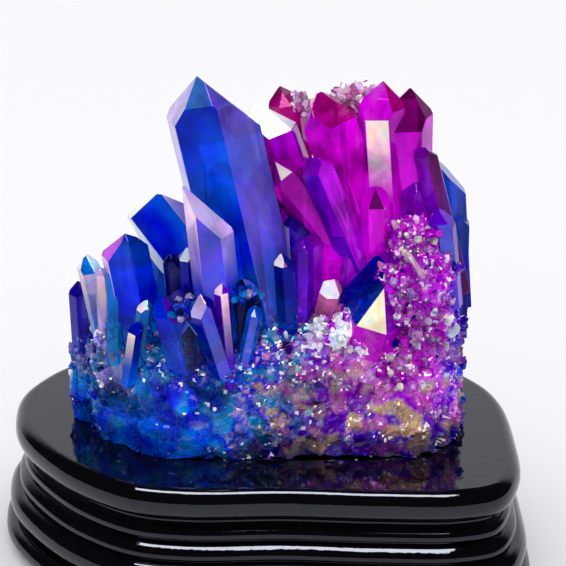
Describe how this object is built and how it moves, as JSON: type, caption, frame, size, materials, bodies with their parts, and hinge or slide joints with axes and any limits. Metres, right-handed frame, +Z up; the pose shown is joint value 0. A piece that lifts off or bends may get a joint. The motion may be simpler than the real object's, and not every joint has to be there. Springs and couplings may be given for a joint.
{
  "type": "aura quartz cluster on a display stand",
  "caption": "Cluster of blue, violet and magenta coated quartz crystals on their druse matrix, resting on a low black lacquered display stand.",
  "frame": {"origin": "middle of the stand's underside, on the surface that it stands on", "axes": "+Z up, +X along the stand's long side and to the right as seen from the front, -Y towards the viewer"},
  "size_m": [0.137, 0.095, 0.1287],
  "materials": {
    "quartz": "clear, with a thin iridescent coating, blue on the left and magenta on the right",
    "lacquered_wood": "deep black high-gloss lacquer"
  },
  "bodies": {
    "root": {"quartz_cluster": "quartz", "stand": "lacquered_wood"}
  },
  "joints": []
}
